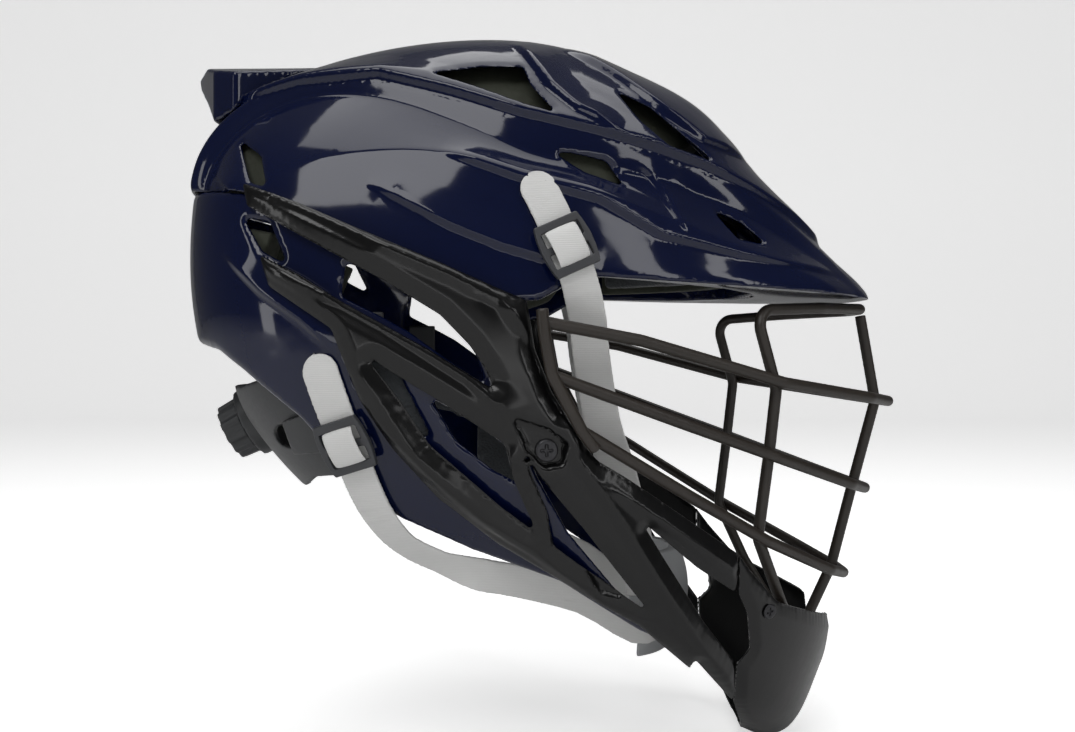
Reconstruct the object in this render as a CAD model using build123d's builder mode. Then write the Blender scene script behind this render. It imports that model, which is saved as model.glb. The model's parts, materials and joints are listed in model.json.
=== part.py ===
from build123d import *
from math import atan2, cos, degrees, hypot, radians, sin
import os

os.makedirs("parts", exist_ok=True)

# Driving dimensions, in mm: x runs to the front, y to the wearer's left, z up
helmet_length = 326.0
half_width = 110.0
shell_wall = 3.2
guard_wall = 5.6
guard_seat = 0.9
wire_radius = 2.6
wire_bend = 8.0
strap_width = 15.5
strap_thickness = 1.5
liner_depth = 15.0
pad_depth = 9.0
soft_gap = 0.35
running_gap = 0.06
vent_start = 0.36 * half_width
pocket_depth = 2.2

# Fit dial, cradle and side arms
travel = 10.0
arm_clearance = 5.0
arm_wall = 2.4
cradle_wall = 3.0
slide_clearance = 0.4
pin_radius = 3.6
hub_radius = 17.0
hub_clearance = 1.8
dial_radius = 14.5
dial_height = 10.0
scallop_radius = 2.4
shaft_radius = 4.0
shaft_length = 7.4

# The ear axis, which the shell's outlines are measured from
ear_x = -0.0153 * helmet_length
ear_z = 0.043 * helmet_length

# The middle outline as (angle in degrees, radius share), from the visor's tip over the crown and round the jaw
outline_shares = [
    (4, 0.652), (15, 0.572), (27, 0.531), (39, 0.514), (50, 0.486), (65, 0.457), (80, 0.430), (100, 0.411),
    (117, 0.412), (129, 0.416), (140, 0.409), (153, 0.372), (170, 0.338), (188, 0.319), (207, 0.319), (236, 0.322),
    (263, 0.360), (285, 0.420), (299, 0.560), (307, 0.700), (312, 0.768), (320, 0.738), (330, 0.696), (344, 0.668),
]
# Lateral places of the slices that the smooth form is lofted through
slice_shares = [0.0, 0.3, 0.5, 0.66, 0.78, 0.87, 0.94, 0.985]

# Crown sections as (angle, radius share, ridge, step and side crease as shares of the radius, inner radius share)
crown_shares = [
    (4, 0.652, 0.975, 0.955, 0.890, 0.478),
    (9.5, 0.606, 0.960, 0.930, 0.825, 0.483),
    (15, 0.572, 0.935, 0.895, 0.740, 0.487),
    (21, 0.548, 0.890, 0.840, 0.672, 0.490),
    (27, 0.531, 0.840, 0.775, 0.615, 0.494),
    (39, 0.514, 0.735, 0.650, 0.535, 0.500),
    (50, 0.486, 0.690, 0.590, 0.500, 0.476),
    (65, 0.457, 0.695, 0.595, 0.492, 0.447),
    (80, 0.430, 0.745, 0.650, 0.508, 0.420),
    (100, 0.411, 0.822, 0.765, 0.530, 0.401),
    (117, 0.412, 0.880, 0.845, 0.560, 0.402),
    (129, 0.416, 0.900, 0.870, 0.590, 0.406),
    (140, 0.409, 0.905, 0.875, 0.620, 0.399),
    (151, 0.378, 0.905, 0.875, 0.640, 0.368),
]
full_relief_angle = 30.0
crease_fade_end, crease_fade_span = 160.0, 60.0
ridge_lift = 0.020
step_drop = 0.026
crease_lift = 0.016
rim_share = 0.10


def bulge(angle):
    return 2.2 - 0.25 * cos(radians(angle))


def section_half_width(angle, radius_part):
    power = bulge(angle)
    return (1 - radius_part ** power) ** (1 / power)


def form(grow):
    # The right half of the smooth head form, grown outwards
    with BuildPart() as body:
        for share in slice_shares:
            with BuildSketch(Plane.XZ.offset(share * (half_width + grow))):
                with BuildLine():
                    points = []
                    for angle, radius_share in outline_shares:
                        power = bulge(angle)
                        part = (1 - share ** power) ** (1 / power)
                        radius = (radius_share * helmet_length + grow) * part
                        points.append((ear_x + radius * cos(radians(angle)), ear_z + radius * sin(radians(angle))))
                    count = len(points)
                    for index in range(count):
                        before, start, end, after = [Vector(*points[(index + step) % count]) for step in (-1, 0, 1, 2)]
                        Bezier(start, start + (end - before) / 6, end - (after - start) / 6, end)
                make_face()
        loft()
    return body.part


def scaled(shares):
    return [(x * helmet_length, z * helmet_length) for x, z in shares]


forms = {}


def skin(grow):
    if grow not in forms:
        forms[grow] = form(grow)
    return forms[grow]


def outline(*tables, depth=0):
    # Straight-sided side outlines on the middle plane or that far to the right of it, as one sketch
    with BuildSketch(Plane.XZ.offset(depth)) as side_view:
        for shares in tables:
            with BuildLine():
                Polyline(*scaled(shares), close=True)
            make_face()
    return side_view.sketch


def outline_radius(angle):
    # The middle outline's radius between its given points, by straight interpolation
    around = outline_shares + [(outline_shares[0][0] + 360, outline_shares[0][1])]
    angle = (angle - around[0][0]) % 360 + around[0][0]
    for (low, first), (high, second) in zip(around, around[1:]):
        if low <= angle <= high:
            return (first + (second - first) * (angle - low) / (high - low)) * helmet_length


def side_y(x, z, grow):
    # How far the grown form reaches to the side at a place of the side view
    angle = degrees(atan2(z - ear_z, x - ear_x))
    part = min(1, hypot(x - ear_x, z - ear_z) / (outline_radius(angle) + grow))
    return section_half_width(angle, part) * (half_width + grow)


def seat(x_share, z_share, grow, turn=0):
    # A plane on the right side of the grown form that faces outwards
    x, z = x_share * helmet_length, z_share * helmet_length
    step = 0.02 * helmet_length
    slope_x = (side_y(x + step, z, grow) - side_y(x - step, z, grow)) / (2 * step)
    slope_z = (side_y(x, z + step, grow) - side_y(x, z - step, grow)) / (2 * step)
    across = Vector(cos(radians(turn)), 0, sin(radians(turn)))
    outward = Vector(-slope_x, -1, -slope_z).normalized()
    along = (across - outward * across.dot(outward)).normalized()
    return Plane(origin=(x, -side_y(x, z, grow), z), x_dir=along, z_dir=outward)


def finish(builder, name):
    builder.part.label = name
    export_step(builder.part, "parts/" + name + ".step")


# Crown shell: creased sections in a fan about the ear axis, from the visor back to the rear lip
lower_edge_shares = [(-0.330, 0.230), (-0.222, 0.212), (-0.140, 0.172), (-0.065, 0.140), (0.034, 0.090),
                     (0.106, 0.068), (0.155, 0.074), (0.194, 0.096), (0.229, 0.104), (0.358, 0.098), (0.660, 0.086)]
top_shares = [(0.700, 0.500), (-0.400, 0.500), (-0.400, 0.230)]

vent_shares = [
    [(0.010, 0.372), (0.074, 0.386), (0.130, 0.388), (0.140, 0.360), (0.172, 0.314), (0.131, 0.326), (0.077, 0.348)],
    [(0.253, 0.360), (0.298, 0.338), (0.354, 0.290), (0.382, 0.261), (0.316, 0.278), (0.287, 0.311)],
    [(0.172, 0.266), (0.205, 0.262), (0.238, 0.255), (0.262, 0.223), (0.211, 0.240)],
    [(0.382, 0.199), (0.423, 0.184), (0.458, 0.154), (0.412, 0.160)],
    [(-0.246, 0.292), (-0.205, 0.262), (-0.190, 0.218), (-0.213, 0.225)],
]

with BuildPart() as crown_half:
    for angle, radius_share, ridge, step, crease, inner_share in crown_shares:
        turn = radians(angle)
        plane = Plane(origin=(ear_x, 0, ear_z), x_dir=(cos(turn), 0, sin(turn)), z_dir=(-sin(turn), 0, cos(turn)))
        outer_radius = radius_share * helmet_length
        narrowing = inner_share / radius_share
        relief = min(1, angle / full_relief_angle)
        side_lift = crease_lift * min(1, (crease_fade_end - angle) / crease_fade_span)
        chains = {"outer": [], "inner": []}
        for part, lift in ((rim_share, 0), ((rim_share + crease) / 2, side_lift / 2), (crease, side_lift),
                           ((crease + step) / 2, -step_drop / 2), (step, -step_drop),
                           ((ridge + step) / 2, 0), (ridge, ridge_lift)):
            swell = 1 + lift * relief
            along = part * outer_radius * swell
            across = section_half_width(angle, part) * half_width * swell
            chains["outer"].append((along, -across))
            chains["inner"].append((along * narrowing, -across * (1 - shell_wall / hypot(along, across))))
        with BuildSketch(plane):
            with BuildLine():
                for chain, top in ((chains["outer"], outer_radius), (chains["inner"], outer_radius * narrowing)):
                    for first in (0, 2, 4):
                        ThreePointArc(*chain[first:first + 3])
                    # The last arc meets the middle plane squarely, so the two halves join smoothly
                    along, across = chain[6]
                    middle = (top ** 2 - along ** 2 - across ** 2) / (2 * (top - along))
                    half_turn = atan2(across, along - middle) / 2
                    halfway = (middle + (top - middle) * cos(half_turn), (top - middle) * sin(half_turn))
                    ThreePointArc(chain[6], halfway, (top, 0))
                Line(chains["outer"][0], chains["inner"][0])
                Line((outer_radius, 0), (outer_radius * narrowing, 0))
            make_face()
    loft()
    extrude(outline(lower_edge_shares + top_shares), amount=2 * half_width, mode=Mode.INTERSECT)
    extrude(outline(*vent_shares, depth=vent_start), amount=2 * half_width, mode=Mode.SUBTRACT)

with BuildPart() as crown_shell:
    add(crown_half.part)
    mirror(about=Plane.XZ)
finish(crown_shell, "crown_shell")

# Rear shell: the lower half of the head form, round the ears and down to the jaw
rear_edge_shares = [
    (0.106, 0.068), (0.126, 0.020), (0.132, -0.060), (0.150, -0.140), (0.190, -0.215), (0.250, -0.290),
    (0.330, -0.372), (0.283, -0.351), (0.180, -0.284), (0.064, -0.245), (-0.024, -0.203), (-0.083, -0.164),
    (-0.108, -0.119), (-0.143, -0.075), (-0.182, -0.044), (-0.224, -0.013), (-0.266, 0.013), (-0.400, 0.040),
    (-0.400, 0.230),
]
ear_hole_shares = [
    [(-0.082, 0.119), (-0.029, 0.100), (0.040, 0.061), (0.071, 0.021), (0.089, -0.030),
     (0.040, 0.002), (-0.007, 0.036), (-0.048, 0.058), (-0.088, 0.078)],
    [(0.021, -0.046), (0.070, -0.073), (0.112, -0.105), (0.130, -0.152), (0.096, -0.135), (0.051, -0.098)],
    [(-0.221, 0.180), (-0.184, 0.173), (-0.158, 0.118), (-0.192, 0.136)],
    [(-0.084, 0.024), (-0.018, -0.016), (0.020, -0.096), (-0.030, -0.080), (-0.070, -0.030)],
]
with BuildPart() as rear_shell:
    add(skin(0))
    add(skin(-shell_wall), mode=Mode.SUBTRACT)
    extrude(outline(lower_edge_shares[:6] + rear_edge_shares[1:]), amount=2 * half_width, mode=Mode.INTERSECT)
    extrude(outline(*ear_hole_shares), amount=2 * half_width, mode=Mode.SUBTRACT)
    mirror(about=Plane.XZ)
finish(rear_shell, "rear_shell")

# Jaw guard of each side: three arms, a broad strut and the lower rails, lapped over both shells
guard_shares = [
    [(-0.223, 0.225), (-0.140, 0.193), (-0.065, 0.160), (0.034, 0.119), (0.106, 0.087), (0.140, 0.073),
     (0.150, 0.012), (0.165, -0.049), (0.106, -0.046), (0.087, -0.007), (0.070, 0.018), (0.034, 0.055),
     (-0.033, 0.096), (-0.139, 0.153), (-0.213, 0.194)],
    [(-0.194, 0.131), (-0.138, 0.104), (-0.082, 0.069), (0.022, 0.012), (0.106, -0.040), (0.180, -0.098),
     (0.155, -0.125), (0.118, -0.106), (0.033, -0.050), (-0.033, -0.010), (-0.100, 0.039), (-0.181, 0.092)],
    [(0.138, 0.073), (0.150, 0.012), (0.170, -0.039), (0.217, -0.114), (0.250, -0.149), (0.313, -0.253),
     (0.367, -0.340), (0.412, -0.400), (0.412, -0.458), (0.363, -0.398), (0.281, -0.304), (0.211, -0.211),
     (0.149, -0.135), (0.121, -0.073), (0.100, -0.024), (0.100, 0.080)],
    [(-0.100, 0.040), (-0.061, 0.010), (-0.015, -0.049), (0.020, -0.104), (0.105, -0.180), (0.198, -0.251),
     (0.294, -0.321), (0.362, -0.385), (0.351, -0.405), (0.282, -0.341), (0.180, -0.281), (0.103, -0.235),
     (0.029, -0.175), (-0.024, -0.113), (-0.065, -0.049)],
    [(0.229, -0.126), (0.262, -0.146), (0.332, -0.195), (0.412, -0.252), (0.412, -0.305), (0.355, -0.265),
     (0.268, -0.189), (0.247, -0.172)],
    [(0.112, -0.098), (0.133, -0.110), (0.148, -0.147), (0.165, -0.188), (0.175, -0.250), (0.159, -0.252),
     (0.145, -0.199), (0.123, -0.147)],
]
# Sunk places in the guard's face: a teardrop round the temple screw and a panel behind the strut
pocket_shares = [
    [(0.121, -0.068), (0.165, -0.083), (0.187, -0.101), (0.183, -0.127), (0.161, -0.130), (0.140, -0.110)],
    [(0.198, -0.235), (0.237, -0.245), (0.263, -0.305), (0.230, -0.292)],
]
with BuildPart() as pockets:
    extrude(outline(*pocket_shares), amount=2 * half_width)
    add(skin(guard_wall - pocket_depth), mode=Mode.SUBTRACT)

with BuildPart() as jaw_guard_right:
    add(skin(guard_wall))
    add(skin(guard_seat), mode=Mode.SUBTRACT)
    extrude(outline(*guard_shares), amount=2 * half_width, mode=Mode.INTERSECT)
    add(pockets.part, mode=Mode.SUBTRACT)
finish(jaw_guard_right, "jaw_guard_right")

with BuildPart() as jaw_guard_left:
    mirror(jaw_guard_right.part, about=Plane.XZ)
finish(jaw_guard_left, "jaw_guard_left")


# Wire mask of bent rod: a brow hoop that runs down into the side uprights, a centre upright, bars and side loops
def wire(places):
    with BuildPart() as rod:
        with BuildLine() as wire_path:
            FilletPolyline(*[Vector(x, -y, z) * helmet_length for x, y, z in places], radius=wire_bend)
        with BuildSketch(Plane(origin=wire_path.line @ 0, z_dir=wire_path.line % 0)):
            Circle(wire_radius)
        sweep(path=wire_path.line)
    return rod.part


def mirrored(places):
    # Both sides of a rod whose right half is given, level where it crosses the middle
    return places + [(x, -y, z) for x, y, z in reversed(places)]


hoop_places = [(0.520, 0.045, -0.400), (0.478, 0.150, -0.322), (0.442, 0.196, -0.236), (0.456, 0.198, -0.128),
               (0.466, 0.198, -0.038), (0.438, 0.200, 0.066), (0.540, 0.125, 0.072), (0.618, 0.036, 0.074)]
centre_places = [(0.626, 0, 0.066), (0.648, 0, -0.060), (0.614, 0, -0.187), (0.583, 0, -0.307), (0.540, 0, -0.400)]
bar_places = {
    "mask_bar_upper": [(0.158, 0.347, 0.046), (0.281, 0.296, 0.024), (0.474, 0.214, -0.030), (0.610, 0.120, -0.052),
                       (0.660, 0.030, -0.060)],
    "mask_bar_middle": [(0.168, 0.345, -0.018), (0.340, 0.277, -0.082), (0.466, 0.214, -0.128), (0.584, 0.118, -0.172),
                        (0.626, 0.030, -0.187)],
    "mask_bar_lower": [(0.208, 0.333, -0.088), (0.340, 0.280, -0.170), (0.452, 0.212, -0.238), (0.556, 0.115, -0.292),
                       (0.595, 0.030, -0.311)],
}
loop_places = [(0.158, 0.352, 0.062), (0.161, 0.352, 0.030), (0.170, 0.350, -0.018), (0.206, 0.338, -0.086),
               (0.224, 0.330, -0.110)]

with BuildPart() as mask_hoop:
    add(wire(mirrored(hoop_places)))
finish(mask_hoop, "mask_hoop")

with BuildPart() as mask_centre_upright:
    add(wire(centre_places))
    add(mask_hoop.part, mode=Mode.SUBTRACT)
finish(mask_centre_upright, "mask_centre_upright")

side_loop = wire(loop_places)
bars = []
for name, places in bar_places.items():
    with BuildPart() as mask_bar:
        add(wire(mirrored(places)))
        add([mask_hoop.part, mask_centre_upright.part], mode=Mode.SUBTRACT)
    finish(mask_bar, name)
    bars.append(mask_bar.part)

with BuildPart() as mask_loop_right:
    add(side_loop)
    add(bars, mode=Mode.SUBTRACT)
finish(mask_loop_right, "mask_loop_right")

with BuildPart() as mask_loop_left:
    mirror(mask_loop_right.part, about=Plane.XZ)
finish(mask_loop_left, "mask_loop_left")

# Chin guard: wraps round the front between the two jaw guards and takes the ends of the uprights
chin_shares = [(0.412, -0.252), (0.432, -0.279), (0.470, -0.322), (0.560, -0.360), (0.560, -0.470), (0.480, -0.560),
               (0.440, -0.530), (0.412, -0.458), (0.412, -0.400), (0.430, -0.380), (0.424, -0.330), (0.412, -0.305)]
with BuildPart() as chin_guard:
    add(skin(guard_wall))
    add(skin(guard_seat), mode=Mode.SUBTRACT)
    extrude(outline(chin_shares), amount=2 * half_width, mode=Mode.INTERSECT)
    mirror(about=Plane.XZ)
    add([mask_hoop.part, mask_centre_upright.part], mode=Mode.SUBTRACT)
finish(chin_guard, "chin_guard")

# Rear spoiler: a wedge with a pointed plan on the back of the crown
spoiler_side_shares = [(-0.140, 0.429), (-0.214, 0.422), (-0.362, 0.420), (-0.354, 0.400), (-0.322, 0.362),
                       (-0.300, 0.330), (-0.140, 0.360)]
spoiler_plan_shares = [(-0.140, 0), (-0.150, -0.100), (-0.262, -0.175), (-0.300, -0.140), (-0.362, 0)]
spoiler_end_shares = [(0, 0.440), (-0.200, 0.384), (-0.200, 0.200), (0, 0.200)]
with BuildPart() as rear_spoiler:
    extrude(outline(spoiler_side_shares), amount=half_width)
    with BuildSketch():
        with BuildLine():
            Polyline(*scaled(spoiler_plan_shares), close=True)
        make_face()
    extrude(amount=helmet_length, mode=Mode.INTERSECT)
    # The top slopes down to both sides
    with BuildSketch(Plane.YZ):
        with BuildLine():
            Polyline(*scaled(spoiler_end_shares), close=True)
        make_face()
    extrude(amount=-helmet_length, mode=Mode.INTERSECT)
    add(skin(-shell_wall / 3), mode=Mode.SUBTRACT)
    add(crown_half.part, mode=Mode.SUBTRACT)
    mirror(about=Plane.XZ)
finish(rear_spoiler, "rear_spoiler")


# Screws with a cross recess: one pair at the temples and one at the chin
def screw_pair(name, x_share, z_share, seat_depth, radius):
    head_height = 0.35 * radius
    with BuildPart() as head:
        with BuildSketch(seat(x_share, z_share, guard_wall - seat_depth)):
            Circle(radius)
        extrude(amount=head_height)
        chamfer(head.faces().sort_by(Axis.Y)[0].edges(), 0.4 * head_height)
        with BuildSketch(seat(x_share, z_share, guard_wall - seat_depth + 0.4 * head_height)):
            Rectangle(1.1 * radius, 0.26 * radius)
            Rectangle(0.26 * radius, 1.1 * radius)
        extrude(amount=head_height, mode=Mode.SUBTRACT)
    with BuildPart() as pair:
        add(head.part)
        mirror(head.part, about=Plane.XZ)
    finish(pair, name)


screw_pair("temple_screws", 0.163, -0.110, pocket_depth - soft_gap, 4.6)
screw_pair("chin_screws", 0.454, -0.330, 0, 3.4)


# Foam liner and comfort pads
def padding(name, shares, low, high, both=True):
    with BuildPart() as foam:
        add(skin(high))
        add(skin(low), mode=Mode.SUBTRACT)
        extrude(outline(shares), amount=2 * half_width, mode=Mode.INTERSECT)
    if both:
        with BuildPart() as whole:
            add(foam.part)
            mirror(foam.part, about=Plane.XZ)
        finish(whole, name)
    else:
        finish(foam, name + "_right")
        with BuildPart() as other:
            mirror(foam.part, about=Plane.XZ)
        finish(other, name + "_left")


liner_shares = [(-0.330, 0.250), (-0.140, 0.185), (-0.065, 0.150), (0.034, 0.105), (0.106, 0.082), (0.160, 0.100),
                (0.260, 0.230), (0.420, 0.340), (0.420, 0.500), (-0.400, 0.500), (-0.400, 0.250)]
liner_face = 2.2 * shell_wall
padding("crown_liner", liner_shares, -liner_face - liner_depth, -liner_face)
crown_pad_shares = [(-0.120, 0.300), (0.100, 0.280), (0.200, 0.500), (-0.220, 0.500)]
pad_face = liner_face + liner_depth + soft_gap
padding("crown_pad", crown_pad_shares, -pad_face - pad_depth, -pad_face)
rear_pad_shares = [(-0.400, 0.040), (-0.280, 0.040), (-0.220, 0.060), (-0.180, 0.160), (-0.400, 0.210)]
padding("rear_liner", rear_pad_shares, -pad_face, -shell_wall - soft_gap)
ear_pad_shares = [(-0.092, 0.034), (-0.012, -0.012), (0.030, -0.106), (-0.034, -0.090), (-0.078, -0.030)]
padding("ear_pad", ear_pad_shares, -shell_wall - soft_gap - pad_depth / 2, -shell_wall - soft_gap, False)
jaw_pad_shares = [(0.038, -0.096), (0.050, -0.108), (0.092, -0.144), (0.128, -0.162), (0.140, -0.225),
                  (0.080, -0.225), (0.036, -0.170), (0.036, -0.110)]
padding("jaw_pad", jaw_pad_shares, -shell_wall - soft_gap - pad_depth, -shell_wall - soft_gap, False)


# Brow liner and brow pad: two crescents behind the visor
def crescent(name, reach, depth, bottom, top):
    with BuildPart() as band:
        with BuildSketch(Plane.XY.offset(bottom * helmet_length)):
            with Locations((ear_x, 0)):
                Ellipse(reach, reach * brow_roundness)
                Ellipse(reach - depth, (reach - depth) * brow_roundness, mode=Mode.SUBTRACT)
            with Locations((brow_start * helmet_length, 0)):
                Rectangle(helmet_length, 2 * half_width, align=(Align.MIN, Align.CENTER), mode=Mode.INTERSECT)
        extrude(amount=(top - bottom) * helmet_length)
    finish(band, name)


brow_roundness = 0.66
brow_start = 0.25
brow_reach = 0.459 * helmet_length
crescent("brow_liner", brow_reach, pad_depth, 0.110, 0.185)
crescent("brow_pad", brow_reach - pad_depth - soft_gap, pad_depth, 0.115, 0.180)


# Straps: flat webbing through places on the shells, then free ones inside, then two on the chin cup
def eased(before, start, end, after, share):
    # A Catmull-Rom step, so that a strap bends evenly through its places
    curve = start * 2 + (end - before) * share
    curve += (before * 2 - start * 5 + end * 4 - after) * share ** 2
    curve += (start * 3 - before - end * 3 + after) * share ** 3
    return curve / 2


def cup_seat(turn, climb):
    # A plane against the outside of the chin cup, turned from the front and up from the level
    outward = Vector(cos(radians(climb)) * cos(radians(turn)), -cos(radians(climb)) * sin(radians(turn)),
                     sin(radians(climb)))
    return Plane(origin=Vector(cup_x, 0, cup_z) + outward * (cup_radius + soft_gap + strap_seat), z_dir=outward)


def webbing(on_shell, inside, on_cup, name):
    keys = [seat(x, z, strap_seat + lift * helmet_length) for x, z, lift in on_shell]
    keys += [Plane(origin=Vector(x, -y, z) * helmet_length, z_dir=(0, -1, -0.3)) for x, y, z in inside]
    keys += [cup_seat(turn, climb) for turn, climb in on_cup]
    last = len(keys) - 1
    places = []
    for index in range(last):
        around = [keys[min(max(index + step, 0), last)] for step in (-1, 0, 1, 2)]
        for share in (0, 1 / 3, 2 / 3):
            centre = eased(*[key.origin for key in around], share)
            places.append((centre, around[1].z_dir * (1 - share) + around[2].z_dir * share))
    places.append((keys[last].origin, keys[last].z_dir))
    with BuildPart() as strap:
        for index, (centre, outward) in enumerate(places):
            ahead = places[min(index + 1, len(places) - 1)][0] - places[max(index - 1, 0)][0]
            with BuildSketch(Plane(origin=centre, x_dir=ahead.cross(outward), z_dir=ahead)):
                Rectangle(strap_width, strap_thickness)
        loft(ruled=True)
    finish(strap, name + "_right")
    with BuildPart() as other:
        mirror(strap.part, about=Plane.XZ)
    finish(other, name + "_left")


# Ladder buckle: a frame with bulged sides and two strap slots
def buckle(x_share, z_share, lift, turn, name):
    grow = strap_seat + lift * helmet_length + strap_thickness / 2 + 2 * soft_gap
    with BuildPart() as frame:
        with BuildSketch(seat(x_share, z_share, grow, turn)):
            with BuildLine():
                for side in (1, -1):
                    ThreePointArc((-buckle_length / 2, side * buckle_width / 2),
                                  (0, side * (buckle_width / 2 + buckle_bulge)),
                                  (buckle_length / 2, side * buckle_width / 2))
                    Line((side * buckle_length / 2, -buckle_width / 2), (side * buckle_length / 2, buckle_width / 2))
            make_face()
            with GridLocations(slot_pitch, 0, 2, 1):
                Rectangle(slot_length, strap_width + strap_thickness, mode=Mode.SUBTRACT)
        extrude(amount=buckle_thickness)
    finish(frame, name + "_right")
    with BuildPart() as other:
        mirror(frame.part, about=Plane.XZ)
    finish(other, name + "_left")


buckle_length = 1.45 * strap_width
buckle_width = 1.25 * strap_width
buckle_bulge = 0.1 * strap_width
buckle_thickness = 1.7 * strap_thickness
slot_pitch = 0.6 * strap_width
slot_length = 0.4 * strap_width
strap_seat = soft_gap + strap_thickness / 2

# Chin cup: a moulded bowl that the straps hold from both sides
cup_radius = 0.135 * helmet_length
cup_wall = 0.1 * cup_radius
cup_x, cup_z = 0.235 * helmet_length, -0.335 * helmet_length
with BuildPart() as chin_cup:
    with Locations((cup_x, 0, cup_z)):
        Sphere(cup_radius)
        Sphere(cup_radius - cup_wall, mode=Mode.SUBTRACT)
    with Locations((cup_x + cup_radius, 0, cup_z - cup_wall)):
        Box(1.2 * cup_radius, 2 * cup_radius, 1.1 * cup_radius, mode=Mode.INTERSECT)
finish(chin_cup, "chin_cup")

webbing([(0.140, 0.232, 0.0067), (0.160, 0.200, 0.0059), (0.187, 0.140, 0.0043), (0.203, 0.098, 0.0040)],
        [(0.214, 0.292, 0.050), (0.219, 0.272, 0.005), (0.234, 0.240, -0.080), (0.254, 0.205, -0.140),
         (0.274, 0.168, -0.210), (0.285, 0.143, -0.262)], [(66, 13), (66, 3)], "front_strap")
buckle(0.187, 0.140, 0.0055, -65, "front_buckle")
webbing([(-0.121, 0.008, 0.001), (-0.104, -0.045, 0.001), (-0.084, -0.105, 0.001), (-0.067, -0.158, 0.0022),
         (-0.050, -0.200, 0.0026), (-0.022, -0.238, 0.001), (0.026, -0.264, 0.001)],
        [(0.075, 0.230, -0.280), (0.128, 0.216, -0.292), (0.215, 0.180, -0.322)], [(66, -16), (50, -14)],
        "rear_strap")
buckle(-0.084, -0.105, 0.001, -72, "rear_buckle")

# Retention: a cradle that the dial draws forward on pins that stand on the two side arms
arm_high = -shell_wall - arm_clearance
cradle_high = arm_high - arm_wall - slide_clearance
cradle_low = cradle_high - cradle_wall
hub_high = -shell_wall - hub_clearance
hub_angle = radians(207)
back_radius = outline_radius(207)
hub_plane = Plane(
    origin=(ear_x + (back_radius + hub_high) * cos(hub_angle), 0, ear_z + (back_radius + hub_high) * sin(hub_angle)),
    x_dir=(0, 1, 0), z_dir=(cos(hub_angle), 0, sin(hub_angle)))
cradle_shares = [(-0.400, -0.035), (-0.250, -0.035), (-0.194, -0.020), (-0.142, -0.052), (-0.104, -0.100),
                 (-0.092, -0.148), (-0.146, -0.156), (-0.176, -0.176), (-0.222, -0.170), (-0.270, -0.200),
                 (-0.400, -0.200)]
pin_share = (-0.155, -0.100)
stud_share = (-0.062, 0.040)
with BuildPart() as cradle:
    add(skin(cradle_high))
    add(skin(cradle_low), mode=Mode.SUBTRACT)
    extrude(outline(cradle_shares), amount=2 * half_width, mode=Mode.INTERSECT)
    # The slot lets the cradle run forward past the pin
    with BuildSketch(Plane.XZ) as slot:
        with Locations((pin_share[0] * helmet_length - travel / 2, pin_share[1] * helmet_length)):
            SlotOverall(travel + 2.8 * pin_radius, 2.8 * pin_radius)
    extrude(amount=2 * half_width, mode=Mode.SUBTRACT)
    mirror(about=Plane.XZ)
    with BuildSketch(hub_plane):
        Circle(hub_radius)
    extrude(amount=cradle_low - hub_high)
    with BuildSketch(hub_plane):
        Circle(shaft_radius + running_gap)
    extrude(amount=-shaft_length - slide_clearance, mode=Mode.SUBTRACT)
finish(cradle, "cradle")

# Nape pad: soft foam on the inside of the cradle
nape_pad_shares = [(-0.400, -0.060), (-0.262, -0.050), (-0.240, -0.085), (-0.235, -0.150), (-0.400, -0.170)]
padding("nape_pad", nape_pad_shares, cradle_low - soft_gap - pad_depth / 2, cradle_low - soft_gap)

with BuildPart() as dial:
    with BuildSketch(hub_plane.offset(slide_clearance)):
        Circle(dial_radius)
        with PolarLocations(dial_radius + scallop_radius / 2, 12):
            Circle(scallop_radius, mode=Mode.SUBTRACT)
    extrude(amount=dial_height, taper=4)
    with BuildSketch(hub_plane.offset(slide_clearance)):
        Circle(shaft_radius)
    extrude(amount=-shaft_length)
finish(dial, "dial")

arm_shares = [(-0.182, -0.080), (-0.150, -0.070), (-0.085, 0.020), (-0.085, 0.060), (-0.040, 0.060), (-0.040, 0.010),
              (-0.128, -0.120), (-0.172, -0.125)]
with BuildPart() as band_arm_right:
    add(skin(arm_high))
    add(skin(arm_high - arm_wall), mode=Mode.SUBTRACT)
    extrude(outline(arm_shares), amount=2 * half_width, mode=Mode.INTERSECT)
    with BuildSketch(seat(*pin_share, cradle_low - slide_clearance)):
        Circle(pin_radius)
    extrude(amount=arm_high - cradle_low)
    with BuildSketch(seat(*stud_share, arm_high - arm_wall / 2)):
        Circle(pin_radius)
    extrude(amount=arm_clearance + arm_wall)
    add(skin(-shell_wall - soft_gap), mode=Mode.INTERSECT)
finish(band_arm_right, "band_arm_right")
with BuildPart() as band_arm_left:
    mirror(band_arm_right.part, about=Plane.XZ)
finish(band_arm_left, "band_arm_left")
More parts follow.
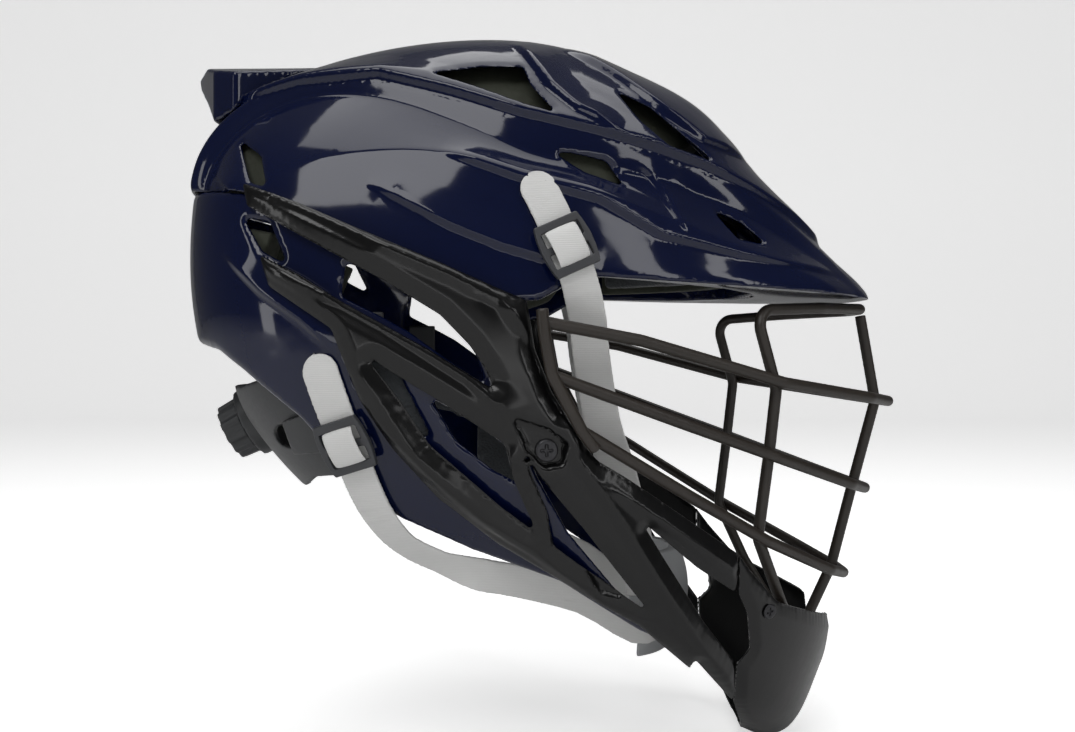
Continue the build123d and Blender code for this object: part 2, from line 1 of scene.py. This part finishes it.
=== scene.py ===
import bpy
import bmesh
import json
import math
import mathutils
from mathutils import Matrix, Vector


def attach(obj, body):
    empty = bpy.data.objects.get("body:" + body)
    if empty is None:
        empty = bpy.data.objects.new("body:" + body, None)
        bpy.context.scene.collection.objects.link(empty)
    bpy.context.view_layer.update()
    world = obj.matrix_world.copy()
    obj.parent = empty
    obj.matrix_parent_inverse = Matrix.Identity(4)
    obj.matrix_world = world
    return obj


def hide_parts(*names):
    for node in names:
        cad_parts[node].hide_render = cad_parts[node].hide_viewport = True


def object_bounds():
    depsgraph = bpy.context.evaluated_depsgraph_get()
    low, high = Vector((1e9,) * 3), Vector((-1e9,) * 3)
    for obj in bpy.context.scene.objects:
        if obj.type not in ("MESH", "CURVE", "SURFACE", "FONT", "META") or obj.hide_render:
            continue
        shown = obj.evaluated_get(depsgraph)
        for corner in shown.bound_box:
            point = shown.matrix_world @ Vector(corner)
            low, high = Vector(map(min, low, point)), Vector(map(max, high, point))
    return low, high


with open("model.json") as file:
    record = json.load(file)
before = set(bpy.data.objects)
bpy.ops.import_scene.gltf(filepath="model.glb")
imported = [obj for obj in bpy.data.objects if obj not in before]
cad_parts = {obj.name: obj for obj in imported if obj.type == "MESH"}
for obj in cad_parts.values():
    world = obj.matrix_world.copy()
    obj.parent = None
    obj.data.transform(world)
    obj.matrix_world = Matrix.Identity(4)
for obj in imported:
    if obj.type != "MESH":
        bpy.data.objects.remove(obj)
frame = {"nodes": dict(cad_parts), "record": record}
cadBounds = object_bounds()
nodes = frame["nodes"]
bodyOf = {name: body for body, names in frame["record"]["behaviour"]["bodies"].items() for name in names}
print("frame loaded:", len(nodes), "nodes")


# Shader maths: a socket that takes part in Python expressions
class Signal:
    def __init__(self, paint, socket):
        self.paint = paint
        self.socket = socket

    def maths(self, operation, other):
        return self.paint.node("ShaderNodeMath", {"operation": operation}, {0: self, 1: other})

    def __add__(self, other):
        return self.maths("ADD", other)

    __radd__ = __add__

    def __mul__(self, other):
        return self.maths("MULTIPLY", other)

    __rmul__ = __mul__


# A material with one Principled shader, and the nodes that feed it
class Paint:
    def __init__(self, name, **fixed):
        self.material = bpy.data.materials.new(name)
        self.material.use_nodes = True
        self.tree = self.material.node_tree
        self.shader = self.tree.nodes["Principled BSDF"]
        for socket, value in fixed.items():
            self.set(socket.replace("_", " "), value)

    def set(self, socket, value):
        target = self.shader.inputs[socket]
        if isinstance(value, Signal):
            self.tree.links.new(value.socket, target)
        elif isinstance(value, tuple) and len(value) == 3:
            target.default_value = (*value, 1)
        else:
            target.default_value = value

    def node(self, kind, settings=None, values=None, output=0):
        made = self.tree.nodes.new(kind)
        for key, value in (settings or {}).items():
            setattr(made, key, value)
        for key, value in (values or {}).items():
            if isinstance(value, Signal):
                self.tree.links.new(value.socket, made.inputs[key])
            elif isinstance(value, tuple) and made.inputs[key].type == "RGBA":
                made.inputs[key].default_value = (*value, 1)
            else:
                made.inputs[key].default_value = value
        return Signal(self, made.outputs[output])

    def place(self, stretch=(1, 1, 1)):
        spot = self.node("ShaderNodeTexCoord", output=3)
        return self.node("ShaderNodeMapping", values={"Vector": spot, "Scale": stretch})

    def noise(self, scale, detail=4):
        return self.node("ShaderNodeTexNoise", values={"Vector": self.place(), "Scale": scale, "Detail": detail})

    def bump(self, height, distance, strength=1.0):
        self.set("Normal", self.node("ShaderNodeBump", values={
            "Height": height, "Distance": distance, "Strength": strength}))

    def blend(self, factor, first, second):
        return self.node("ShaderNodeMix", {"data_type": "RGBA"}, {"Factor": factor, 6: first, 7: second}, 2)


# Finishes of the record's material slots
def shellPaint():
    paint = Paint("shellPaint", Coat_Weight=1.0, Coat_Roughness=0.07, Coat_IOR=1.45, Specular_IOR_Level=0.04)
    flakes = paint.noise(900, 2)
    cloud = paint.noise(9, 3)
    paint.set("Base Color", paint.blend(cloud, (0.0005, 0.0028, 0.022), (0.0009, 0.0040, 0.030)))
    paint.set("Roughness", 0.42 + flakes * 0.12)
    paint.bump(paint.noise(420, 2), 0.00002, 0.3)
    return paint.material


def guardPlastic():
    paint = Paint("guardPlastic", Coat_Weight=0.65, Coat_Roughness=0.16, Specular_IOR_Level=0.10)
    paint.set("Base Color", paint.blend(paint.noise(30), (0.0014, 0.0014, 0.0016), (0.0026, 0.0026, 0.0029)))
    paint.set("Roughness", 0.36 + paint.noise(220, 3) * 0.10)
    paint.bump(paint.noise(1500, 2), 0.00002, 0.2)
    return paint.material


def wireCoat():
    paint = Paint("wireCoat")
    paint.set("Base Color", paint.blend(paint.noise(60), (0.016, 0.012, 0.009), (0.026, 0.020, 0.015)))
    paint.set("Roughness", 0.36 + paint.noise(400, 3) * 0.14)
    paint.bump(paint.noise(1800, 2), 0.00008, 0.4)
    return paint.material


def screwSteel():
    paint = Paint("screwSteel", Metallic=0.8)
    paint.set("Base Color", paint.blend(paint.noise(500), (0.03, 0.03, 0.032), (0.06, 0.06, 0.065)))
    paint.set("Roughness", 0.3 + paint.noise(900) * 0.15)
    return paint.material


def linerFoam():
    paint = Paint("linerFoam")
    beads = paint.node("ShaderNodeTexVoronoi", values={"Vector": paint.place(), "Scale": 260.0})
    paint.set("Base Color", paint.blend(paint.noise(40), (0.022, 0.025, 0.016), (0.040, 0.044, 0.030)))
    paint.set("Roughness", 0.75 + beads * 0.15)
    paint.bump(beads, 0.0004, 0.6)
    return paint.material


def padFabric():
    paint = Paint("padFabric", Sheen_Weight=0.25, Sheen_Roughness=0.5)
    knit = paint.node("ShaderNodeTexVoronoi", values={"Vector": paint.place((1, 1, 1.3)), "Scale": 620.0})
    paint.set("Base Color", paint.blend(paint.noise(55), (0.030, 0.034, 0.038), (0.058, 0.064, 0.070)))
    paint.set("Roughness", 0.8 + knit * 0.15)
    paint.bump(knit, 0.0005, 0.7)
    return paint.material


def webbing():
    paint = Paint("webbing", Sheen_Weight=0.15)
    ribs = paint.node("ShaderNodeTexWave", {"wave_type": "BANDS", "bands_direction": "Z"}, {
        "Vector": paint.place(), "Scale": 420.0, "Distortion": 0.8, "Detail": 2.0, "Detail Scale": 4.0})
    tone = ribs * 0.35 + paint.noise(60) * 0.65
    paint.set("Base Color", paint.blend(tone, (0.60, 0.60, 0.59), (0.72, 0.72, 0.71)))
    paint.set("Roughness", 0.7 + paint.noise(700) * 0.2)
    paint.bump(ribs + paint.noise(900, 2) * 0.5, 0.00012, 0.4)
    return paint.material


def bucklePlastic():
    paint = Paint("bucklePlastic")
    paint.set("Base Color", paint.blend(paint.noise(90), (0.030, 0.031, 0.035), (0.048, 0.050, 0.056)))
    paint.set("Roughness", 0.38 + paint.noise(500) * 0.15)
    paint.bump(paint.noise(1600, 2), 0.00006, 0.4)
    return paint.material


def cupRubber():
    paint = Paint("cupRubber")
    paint.set("Base Color", paint.blend(paint.noise(50), (0.30, 0.31, 0.32), (0.40, 0.41, 0.42)))
    paint.set("Roughness", 0.55 + paint.noise(400) * 0.15)
    paint.bump(paint.noise(700, 3), 0.0001, 0.4)
    return paint.material


def retentionPlastic():
    paint = Paint("retentionPlastic")
    paint.set("Base Color", paint.blend(paint.noise(70), (0.026, 0.027, 0.029), (0.042, 0.044, 0.047)))
    paint.set("Roughness", 0.4 + paint.noise(600) * 0.15)
    paint.bump(paint.noise(1700, 2), 0.00006, 0.4)
    return paint.material


finishes = {
    "shell_paint": shellPaint(), "guard_plastic": guardPlastic(), "wire_coat": wireCoat(),
    "screw_steel": screwSteel(), "liner_foam": linerFoam(), "pad_fabric": padFabric(), "webbing": webbing(),
    "buckle_plastic": bucklePlastic(), "cup_rubber": cupRubber(), "retention_plastic": retentionPlastic(),
}
slots = {part["node"]: part["material_slot"] for part in frame["record"]["subparts"]}
print("finishes ready")


# A merged copy of a CAD node, which then stands for it
def copyOf(name):
    mesh = nodes[name].data.copy()
    mesh.materials.clear()
    work = bmesh.new()
    work.from_mesh(mesh)
    bmesh.ops.remove_doubles(work, verts=work.verts, dist=0.00002)
    work.to_mesh(mesh)
    work.free()
    return newObject(name + "_piece", mesh)


# A node's own name, or those of its right and left one
def sides(base):
    return [base] if base in nodes else [base + "_right", base + "_left"]


def applyModifiers(piece):
    graph = bpy.context.evaluated_depsgraph_get()
    mesh = bpy.data.meshes.new_from_object(piece.evaluated_get(graph))
    piece.modifiers.clear()
    old = piece.data
    piece.data = mesh
    bpy.data.meshes.remove(old)


def change(piece, kind, **settings):
    modifier = piece.modifiers.new(kind.lower(), kind)
    for key, value in settings.items():
        setattr(modifier, key, value)
    applyModifiers(piece)


def newObject(name, mesh):
    made = bpy.data.objects.new(name, mesh)
    bpy.context.scene.collection.objects.link(made)
    return made


# A piece that stands for a node, with the node's finish and body
def dress(piece, name):
    slotName = slots[name]
    piece.data.materials.clear()
    piece.data.materials.append(finishes[slotName])
    if not piece.data.has_custom_normals:
        piece.data.shade_smooth()
    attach(piece, bodyOf[name])
    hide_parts(name)
    return piece


# The outward direction of the shells and guards at a place, from the axis through the ears
headForm = {"ear": (-0.005, 0.014), "halfWidth": 0.110, "reach": 0.150}


def outwardAt(place):
    flat = Vector((place.x - headForm["ear"][0], 0, place.z - headForm["ear"][1])) / headForm["reach"] ** 2
    return (flat + Vector((0, place.y / headForm["halfWidth"] ** 2, 0))).normalized()


# Pressed folds, as side-view lines in metres: each rises over its ramp and drops on its lower side
folds = {
    "mainRidge": {"line": [(-0.092, 0.113), (-0.054, 0.121), (-0.019, 0.122), (0.012, 0.113), (0.042, 0.103),
                           (0.075, 0.096), (0.097, 0.091), (0.120, 0.085), (0.144, 0.076), (0.165, 0.066),
                           (0.188, 0.051)], "rise": 0.0030},
    "outerBlade": {"line": [(0.036, 0.143), (0.041, 0.137), (0.053, 0.117), (0.065, 0.105), (0.084, 0.095)],
                   "rise": 0.0034},
    "innerBlade": {"line": [(0.059, 0.142), (0.081, 0.127), (0.102, 0.110), (0.121, 0.0965), (0.145, 0.093)],
                   "rise": 0.0030},
    "frontRib": {"line": [(0.092, 0.084), (0.102, 0.072), (0.112, 0.0525)], "rise": 0.0018},
    "sideFold": {"line": [(0.010, 0.085), (0.042, 0.074), (0.075, 0.066), (0.100, 0.052), (0.135, 0.045),
                          (0.187, 0.039)], "rise": 0.0024},
    "fenderFold": {"line": [(-0.020, 0.072), (0.015, 0.054), (0.035, 0.046), (0.056, 0.040), (0.075, 0.034)],
                   "rise": 0.0022},
    "rearFold": {"line": [(-0.091, 0.081), (-0.070, 0.063), (-0.061, 0.056), (-0.045, 0.054)], "rise": 0.0022},
    "lowerRearFold": {"line": [(-0.083, 0.046), (-0.063, 0.028), (-0.045, 0.016), (-0.029, 0.002)], "rise": 0.0022},
}
# The guards' ridges, along the arms, the strut and the lower beam
guardFolds = {
    "armRidge": {"line": [(-0.071, 0.074), (-0.041, 0.061), (-0.011, 0.0455), (0.016, 0.034), (0.036, 0.024),
                          (0.050, 0.006)]},
    "lowerArmRidge": {"line": [(-0.065, 0.042), (-0.045, 0.031), (-0.0275, 0.024), (-0.011, 0.015), (0.022, -0.006),
                               (0.042, -0.024)]},
    "strutRidge": {"line": [(0.060, -0.020), (0.0665, -0.040), (0.082, -0.062), (0.101, -0.0935), (0.1195, -0.122),
                            (0.145, -0.162)]},
    "beamRidge": {"line": [(-0.020, -0.018), (0.005, -0.044), (0.027, -0.0635), (0.048, -0.076), (0.067, -0.093),
                           (0.089, -0.112), (0.108, -0.127)]},
    "frontRidge": {"line": [(0.076, -0.047), (0.098, -0.064), (0.119, -0.078), (0.134, -0.090)]},
}
guardShape = {"rise": 0.0024, "rampWidth": 0.009, "dropWidth": 0.0045}
foldShape = {"rampWidth": 0.013, "dropWidth": 0.0018, "endFade": 0.014, "bend": 1.5}
for name, fold in guardFolds.items():
    folds[name] = {**fold, **guardShape}
for fold in folds.values():
    fold.update({key: value for key, value in foldShape.items() if key not in fold})
    reach = fold["rampWidth"]
    acrossX, acrossZ = zip(*fold["line"])
    fold["box"] = (min(acrossX) - reach, max(acrossX) + reach, min(acrossZ) - reach, max(acrossZ) + reach)


def foldHeight(x, z, fold):
    line = fold["line"]
    lowX, highX, lowZ, highZ = fold["box"]
    if not (lowX < x < highX and lowZ < z < highZ):
        return 0
    best = None
    run = 0
    for (startX, startZ), (endX, endZ) in zip(line, line[1:]):
        spanX, spanZ = endX - startX, endZ - startZ
        span = math.hypot(spanX, spanZ)
        share = min(1, max(0, ((x - startX) * spanX + (z - startZ) * spanZ) / span ** 2))
        offX, offZ = x - startX - share * spanX, z - startZ - share * spanZ
        away = math.hypot(offX, offZ)
        if best is None or away < best[0]:
            best = (away, spanX * offZ - spanZ * offX, run + share * span)
        run += span
    away, side, along = best
    width = fold["rampWidth"] if side > 0 else fold["dropWidth"]
    if away >= width:
        return 0
    ends = min(1, min(along, run - along) / fold["endFade"])
    rise = 1 - away / width
    if side > 0:
        rise = rise ** fold["bend"]
    return fold["rise"] * rise * max(0, ends)


def pressFolds(piece, names, bothSides):
    facing = [max(0, vertex.normal.dot(outwardAt(vertex.co))) for vertex in piece.data.vertices]
    for vertex, value in zip(piece.data.vertices, facing):
        place = vertex.co
        height = sum(foldHeight(place.x, place.z, folds[name]) for name in names)
        if height:
            vertex.co = place + outwardAt(place) * height * (1 if bothSides else value)


# Cut edges: a face slopes down to them, but not to those of the temple screw's pocket. A place counts as an outer
# face or as a wall by how far it is turned outwards, and past backTurn it is an inner face, which stays.
pocket = {"x": 0.0531, "z": -0.0359, "radius": 0.017}
turns = {"wallTurn": 0.55, "backTurn": -0.2}


def inPocket(place):
    return math.hypot(place.x - pocket["x"], place.z - pocket["z"]) <= pocket["radius"]


def slopeToEdges(piece, width, depth):
    mesh = piece.data
    facing = [vertex.normal.dot(outwardAt(vertex.co)) for vertex in mesh.vertices]
    walls = [vertex.co.copy() for vertex, value in zip(mesh.vertices, facing)
             if abs(value) < turns["wallTurn"] and not inPocket(vertex.co)]
    tree = mathutils.kdtree.KDTree(len(walls))
    for index, place in enumerate(walls):
        tree.insert(place, index)
    tree.balance()
    moves = {}
    for vertex, value in zip(mesh.vertices, facing):
        if value > turns["backTurn"]:
            away = tree.find(vertex.co)[2] if value >= turns["wallTurn"] else 0
            if away < width:
                share = (value - turns["backTurn"]) / (turns["wallTurn"] - turns["backTurn"])
                moves[vertex.index] = outwardAt(vertex.co) * (-depth * (1 - away / width) * min(1, share))
    for index, move in moves.items():
        mesh.vertices[index].co += move


# Fewer faces, with the shading of the fine ones
def trimmed(piece, share):
    piece.data.shade_smooth()
    fine = newObject("fine", piece.data.copy())
    change(piece, "DECIMATE", ratio=share)
    piece.data.shade_smooth()
    change(piece, "DATA_TRANSFER", object=fine, use_loop_data=True, data_types_loops={"CUSTOM_NORMAL"},
           loop_mapping="POLYINTERP_NEAREST")
    mesh = fine.data
    bpy.data.objects.remove(fine)
    bpy.data.meshes.remove(mesh)


# Moulded pieces: an even skin over the solid, whose edges are then rounded off as a mould's are
moulding = {"trimCount": 180000, "ease": 0.5, "foldRounds": 2, "slopeRounds": 4, "quickGrain": 2}
foldedPieces = {
    "crown_shell": ("mainRidge", "outerBlade", "innerBlade", "frontRib", "sideFold", "fenderFold", "rearFold"),
    "rear_shell": ("lowerRearFold",),
    "jaw_guard": tuple(guardFolds),
}
# The width and depth of the slope at the cut edges
slopedPieces = {
    "jaw_guard": (0.0065, 0.0024), "chin_guard": (0.005, 0.0018), "rear_shell": (0.003, 0.0008),
    "crown_shell": (0.003, 0.0006),
}
# The skin's grain, and the rounds of smoothing that round its edges
mouldedPieces = {
    "crown_shell": (0.0008, 5), "rear_shell": (0.0009, 5), "rear_spoiler": (0.0011, 6),
    "jaw_guard": (0.0008, 5), "chin_guard": (0.0008, 5),
    "mask_hoop": (0.0007, 5), "mask_centre_upright": (0.0007, 5), "mask_bar_upper": (0.0007, 5),
    "mask_bar_middle": (0.0007, 5), "mask_bar_lower": (0.0007, 5), "mask_loop": (0.0007, 5),
    "cradle": (0.0008, 5), "dial": (0.0005, 4), "band_arm": (0.0006, 5), "chin_cup": (0.0008, 6),
    "crown_liner": (0.0022, 4), "rear_liner": (0.0018, 4), "brow_liner": (0.0015, 4),
    "front_buckle": (0.0004, 4), "rear_buckle": (0.0004, 4), "temple_screws": (0.00025, 3),
    "chin_screws": (0.0002, 3), "front_strap": (0.0006, 3), "rear_strap": (0.0006, 3),
}


def moulded(base, name, grain, rounds):
    piece = copyOf(name)
    change(piece, "REMESH", mode="VOXEL", voxel_size=grain)
    change(piece, "SMOOTH", factor=moulding["ease"], iterations=rounds)
    if base in foldedPieces:
        pressFolds(piece, foldedPieces[base], base == "crown_shell")
        change(piece, "SMOOTH", factor=moulding["ease"], iterations=moulding["foldRounds"])
    if base in slopedPieces:
        slopeToEdges(piece, *slopedPieces[base])
        change(piece, "SMOOTH", factor=moulding["ease"], iterations=moulding["slopeRounds"])
    triangles = 2 * len(piece.data.polygons)
    if triangles > moulding["trimCount"]:
        trimmed(piece, moulding["trimCount"] / triangles)
    dress(piece, name)


for base, (grain, rounds) in mouldedPieces.items():
    for name in sides(base):
        moulded(base, name, grain * (1), rounds)
print("moulded pieces ready")


# The straps' free ends are rounded off: each strap's way down from its free end, and the end's sizes
strapEnds = {"front_strap": (0.53, 0, -0.85), "rear_strap": (0.305, 0, -0.952)}
strapEnd = {"halfWidth": 0.00775, "tip": (0, 0.0012), "inner": (0.008, 0.010)}


def roundEnd(piece, away):
    depth = [vertex.co.dot(away) for vertex in piece.data.vertices]
    first = min(depth)
    half = strapEnd["halfWidth"]

    def middle(low, high):
        picked = [vertex.co for vertex, value in zip(piece.data.vertices, depth) if low <= value - first <= high]
        return sum(picked, Vector()) / len(picked)

    tip = middle(*strapEnd["tip"])
    along = (middle(*strapEnd["inner"]) - tip).normalized()
    across = along.cross(outwardAt(tip)).normalized()
    for vertex in piece.data.vertices:
        place = vertex.co - tip
        inward = max(0, place.dot(along))
        aside = place.dot(across)
        if inward < half and abs(aside) < 2 * half and place.length < 3 * half:
            allowed = math.sqrt(half ** 2 - (half - inward) ** 2)
            vertex.co -= across * (aside - aside * allowed / half)


for base, away in strapEnds.items():
    for name in sides(base):
        roundEnd(bpy.data.objects[name + "_piece"], Vector(away))

# Webbing that comes up through one slot of a buckle, over its middle bar and down through the other
buckleWraps = {"front_buckle": (0.423, 0, -0.906), "rear_buckle": (0.309, 0, -0.951)}
wrapShape = {"path": [(-0.0078, 0.0002), (-0.0072, 0.0016), (-0.0050, 0.0027), (0, 0.0031), (0.0050, 0.0027),
                      (0.0072, 0.0016), (0.0078, 0.0002)], "width": 0.0150, "thickness": 0.0011}


def addWrap(name, heading):
    corners = [vertex.co for vertex in nodes[name].data.vertices]
    centre = Vector([(min(spots) + max(spots)) / 2 for spots in zip(*corners)])
    outward = outwardAt(centre)
    flat = sorted(nodes[name].data.polygons, key=lambda face: -face.area * abs(face.normal.dot(outward)))[0]
    outward = flat.normal.copy() * (1 if flat.normal.dot(outward) > 0 else -1)
    along = (heading - outward * heading.dot(outward)).normalized()
    across = along.cross(outward)
    work = bmesh.new()
    step, lift = wrapShape["path"][0]
    ends = [work.verts.new(centre + along * step + outward * lift + across * side * wrapShape["width"] / 2)
            for side in (-1, 1)]
    edge = work.edges.new(ends)
    for (step, lift), (nextStep, nextLift) in zip(wrapShape["path"], wrapShape["path"][1:]):
        made = bmesh.ops.extrude_edge_only(work, edges=[edge])["geom"]
        moved = [part for part in made if isinstance(part, bmesh.types.BMVert)]
        bmesh.ops.translate(work, verts=moved, vec=along * (nextStep - step) + outward * (nextLift - lift))
        edge = next(part for part in made if isinstance(part, bmesh.types.BMEdge))
    bmesh.ops.recalc_face_normals(work, faces=work.faces)
    mesh = bpy.data.meshes.new(name + "_wrap")
    work.to_mesh(mesh)
    work.free()
    wrap = newObject(name + "_wrap", mesh)
    change(wrap, "SOLIDIFY", thickness=wrapShape["thickness"], offset=0)
    change(wrap, "SUBSURF", levels=2, render_levels=2)
    wrap.data.materials.append(finishes["webbing"])
    wrap.data.shade_smooth()
    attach(wrap, "helmet")


for base, heading in buckleWraps.items():
    for name in sides(base):
        addWrap(name, Vector(heading))
print("strap ends and buckle wraps ready")

# Soft pads: blown up a little by a short cloth run
softPads = {"grain": 0.004, "pressure": 4.0, "frames": 20, "reach": 0.002, "fill": 0.7}


def softPad(name):
    piece = copyOf(name)
    change(piece, "REMESH", mode="VOXEL", voxel_size=softPads["grain"])
    start = [vertex.co.copy() for vertex in piece.data.vertices]
    cloth = piece.modifiers.new("cloth", "CLOTH")
    cloth.settings.use_pressure = True
    cloth.settings.uniform_pressure_force = softPads["pressure"]
    cloth.settings.effector_weights.gravity = 0
    for number in range(1, softPads["frames"] + 1):
        bpy.context.scene.frame_set(number)
    applyModifiers(piece)
    for vertex, home in zip(piece.data.vertices, start):
        move = vertex.co - home
        if move.length > softPads["reach"]:
            vertex.co = home + move.normalized() * softPads["reach"]
    change(piece, "SUBSURF", levels=1, render_levels=1)
    dress(piece, name)


for base in ("crown_pad", "brow_pad", "ear_pad", "jaw_pad", "nape_pad"):
    for name in sides(base):
        softPad(name)
bpy.context.scene.frame_set(1)
print("pads ready")


# A pale floor that sweeps up into a backdrop. The camera alone sees it lifted to an even white.
room = {"width": 6.0, "depth": 3.0, "sweep": 0.8, "steps": 24, "height": 3, "drop": 0.001,
        "colour": (0.90, 0.90, 0.90), "lift": 0.62}


def buildStage():
    low = cadBounds[0][2] - room["drop"]
    work = bmesh.new()
    front = [work.verts.new((side * room["width"] / 2, -room["depth"], low)) for side in (-1, 1)]
    edge = work.edges.new(front)
    ends = bmesh.ops.extrude_edge_only(work, edges=[edge])["geom"]
    moved = [part for part in ends if isinstance(part, bmesh.types.BMVert)]
    bmesh.ops.translate(work, verts=moved, vec=(0, 2 * room["depth"], 0))
    edge = next(part for part in ends if isinstance(part, bmesh.types.BMEdge))
    bmesh.ops.spin(work, geom=[edge, *moved], cent=(0, room["depth"], low + room["sweep"]), axis=(1, 0, 0),
                   angle=math.pi / 2, steps=room["steps"])
    top = sorted(work.edges, key=lambda part: -sum(vertex.co.z + vertex.co.y for vertex in part.verts))[:1]
    lifted = [part for part in bmesh.ops.extrude_edge_only(work, edges=top)["geom"]
              if isinstance(part, bmesh.types.BMVert)]
    bmesh.ops.translate(work, verts=lifted, vec=(0, 0, room["height"]))
    mesh = bpy.data.meshes.new("floor")
    work.to_mesh(mesh)
    work.free()
    mesh.shade_smooth()
    floor = newObject("floor", mesh)
    paper = Paint("paper", Base_Color=room["colour"], Roughness=0.9, Emission_Color=(1, 1, 1))
    paper.set("Emission Strength", paper.node("ShaderNodeLightPath") * room["lift"])
    mesh.materials.append(paper.material)


# Soft boxes and strips, in metres and watts, all turned to the helmet
lamps = {
    "keyLamp": {"place": (-0.5, -1.4, 1.5), "size": (1.3, 1.0), "power": 17},
    "topLamp": {"place": (0.1, 0.1, 1.7), "size": (1.6, 1.6), "power": 16},
    "rearStrip": {"place": (-1.5, -0.85, 0.1), "size": (0.24, 1.4), "power": 3.4},
    "frontStrip": {"place": (1.15, -1.2, 0.8), "size": (0.24, 1.3), "power": 3.4},
    "noseStrip": {"place": (1.55, -0.75, 0.8), "size": (0.16, 1.3), "power": 2.3},
    "lowStrip": {"place": (0.2, -1.5, -0.05), "size": (1.4, 0.12), "power": 1.2},
}


aim = (0.03, 0, 0)
# The world's strength as the camera sees it, and as it lights the helmet
sky = {"seen": 1.0, "light": 0.07}


def buildLamps():
    for name, lamp in lamps.items():
        light = bpy.data.lights.new(name, "AREA")
        light.shape = "RECTANGLE"
        light.size, light.size_y = lamp["size"]
        light.energy = lamp["power"]
        holder = newObject(name, light)
        holder.location = lamp["place"]
        holder.rotation_euler = (Vector(aim) - Vector(lamp["place"])).to_track_quat("-Z", "Y").to_euler()
    world = bpy.data.worlds.new("studio")
    world.use_nodes = True
    bpy.context.scene.world = world
    tree = world.node_tree
    back = tree.nodes["Background"]
    path = tree.nodes.new("ShaderNodeLightPath")
    strength = tree.nodes.new("ShaderNodeMapRange")
    strength.inputs["To Min"].default_value = sky["light"]
    strength.inputs["To Max"].default_value = sky["seen"]
    tree.links.new(path.outputs["Is Camera Ray"], strength.inputs["Value"])
    tree.links.new(strength.outputs["Result"], back.inputs["Strength"])
    back.inputs["Color"].default_value = (1, 1, 1, 1)


# The camera's distance and lens, worked out from the photograph, in metres and in pixels of the 1075 pixel width
view = {"place": (0.0585, -0.580, 0.0), "focusPixels": 1189, "imageWidth": 1075, "sideShift": 22.5,
        "downShift": 6.0, "sensor": 36, "near": 0.01}


def buildCamera():
    lens = bpy.data.cameras.new("camera")
    lens.sensor_width = view["sensor"]
    lens.lens = view["focusPixels"] / view["imageWidth"] * lens.sensor_width
    lens.clip_start = view["near"]
    camera = newObject("camera", lens)
    camera.location = view["place"]
    yaw = math.atan(view["sideShift"] / view["focusPixels"])
    pitch = math.atan(view["downShift"] / view["focusPixels"])
    camera.rotation_euler = (math.pi / 2 - pitch, 0, yaw)
    bpy.context.scene.camera = camera


buildStage()
buildLamps()
buildCamera()
bpy.context.scene.view_settings.view_transform = "Standard"
print("stage ready")
